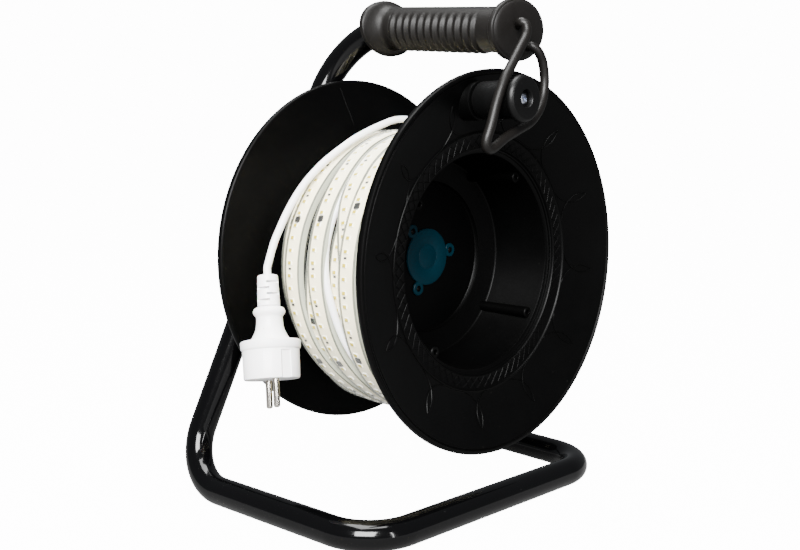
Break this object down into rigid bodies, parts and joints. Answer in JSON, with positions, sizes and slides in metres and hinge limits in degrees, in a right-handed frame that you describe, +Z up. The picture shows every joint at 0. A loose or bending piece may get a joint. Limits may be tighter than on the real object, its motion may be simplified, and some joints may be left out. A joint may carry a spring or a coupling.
{
  "type": "led work light reel",
  "caption": "Cable-reel style LED strip light: strip and white lead wound on a black two-half plastic drum with crank knob, on a bent tube stand with rubber grip.",
  "frame": {"origin": "point on the floor under the middle of the reel's box, measured without the lead and plug", "axes": "+Z up, +Y along the drum's axis from the front flange with the crank knob to the back, +X to the right seen from the front"},
  "size_m": [0.2614, 0.224, 0.3307],
  "materials": {
    "stand_paint": "gloss black powder coat on steel tube",
    "grip_rubber": "satin moulded rubber",
    "loop_rubber": "satin round rubber rod",
    "drum_plastic": "satin moulded polypropylene",
    "cap_plastic": "satin moulded plastic",
    "knob_plastic": "satin moulded plastic",
    "zinc": "bright zinc plating",
    "led_strip": "clear extrusion over a white flexible board",
    "lead_pvc": "smooth white cable sheath",
    "plug_white": "satin moulded plastic",
    "nickel": "nickel plated brass"
  },
  "bodies": {
    "root": {"stand_tube": "stand_paint", "grip": "grip_rubber", "retaining_loop": "loop_rubber", "lead": "lead_pvc", "strain_relief": "plug_white", "plug_body": "plug_white", "plug_pin_1": "nickel", "plug_pin_2": "nickel"},
    "drum": {"drum_front": "drum_plastic", "drum_rear": "drum_plastic", "hub_cap": "cap_plastic", "knob_screw": "zinc"},
    "winding": {"led_strip_coil": "led_strip", "lead_turns": "lead_pvc"},
    "knob": {"crank_knob": "knob_plastic"}
  },
  "joints": [
    {"name": "drum_spin", "type": "hinge", "parent": "root", "child": "drum", "pos_m": [0.00003, -0.00799, 0.16307], "axis": [0, 1, 0], "continuous": true, "deforming": ["retaining_loop"]},
    {"name": "winding_turn", "type": "hinge", "parent": "root", "child": "winding", "pos_m": [0.00003, -0.00799, 0.15427], "axis": [0, 1, 0], "continuous": true},
    {"name": "knob_spin", "type": "hinge", "parent": "drum", "child": "knob", "pos_m": [-0.02447, -0.09229, 0.26257], "axis": [0, 1, 0], "continuous": true}
  ],
  "couplings": [
    {"joint": "winding_turn", "follows": "drum_spin", "ratio": 1}
  ]
}
